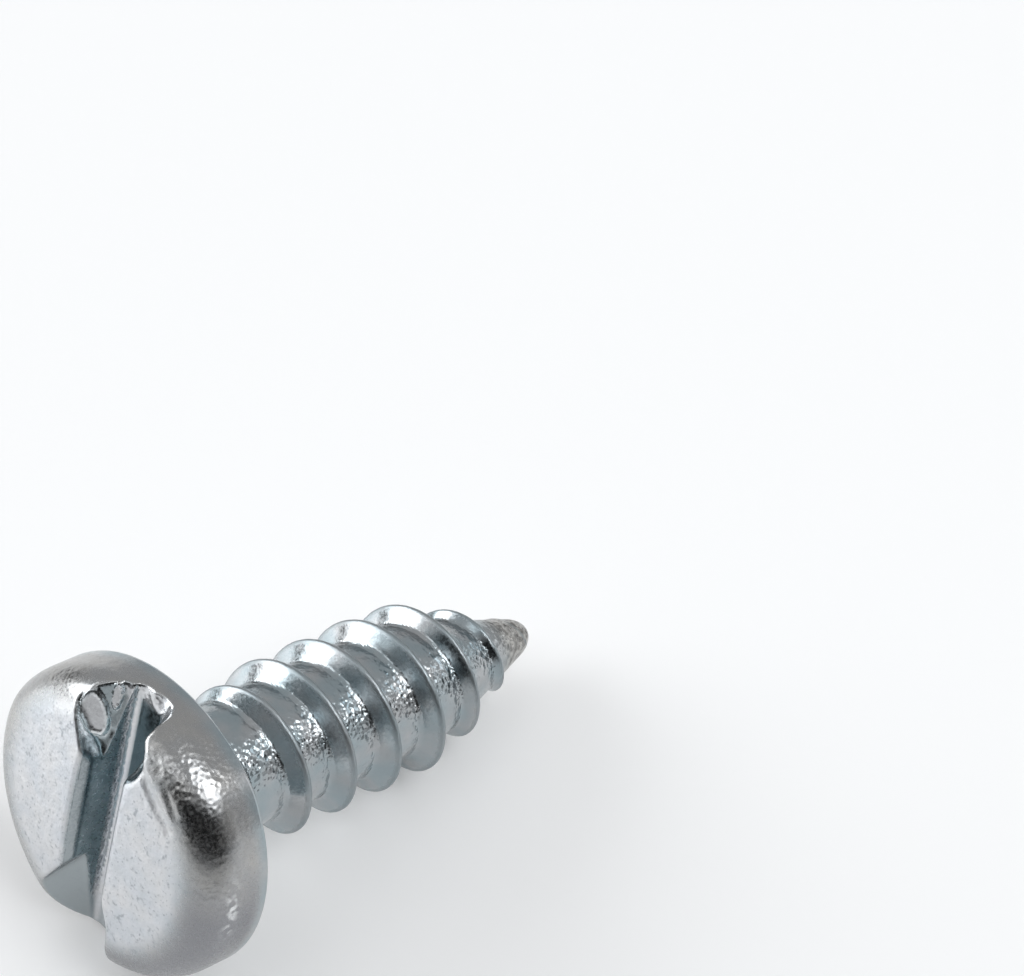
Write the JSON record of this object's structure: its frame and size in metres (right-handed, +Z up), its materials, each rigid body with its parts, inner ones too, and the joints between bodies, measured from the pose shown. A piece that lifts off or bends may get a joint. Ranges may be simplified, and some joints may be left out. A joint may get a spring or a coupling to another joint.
{
  "type": "slotted sheet metal screw",
  "caption": "Pan head sheet metal screw with a straight drive slot flared at both ends, a coarse tapping thread and a blunt cone point, lying on its side.",
  "frame": {"origin": "on the floor plane, under the centre of the lying screw's bounding box", "axes": "+X along the lying screw from its head to its point, seen from above; +Z up, away from the floor it lies on"},
  "size_m": [0.014, 0.008, 0.0076],
  "materials": {
    "zinc_plated_steel": "bright zinc plating with a faint blue tint, finely pitted on the crown and grainy on the thread roots"
  },
  "bodies": {
    "root": {"screw": "zinc_plated_steel"}
  },
  "joints": []
}
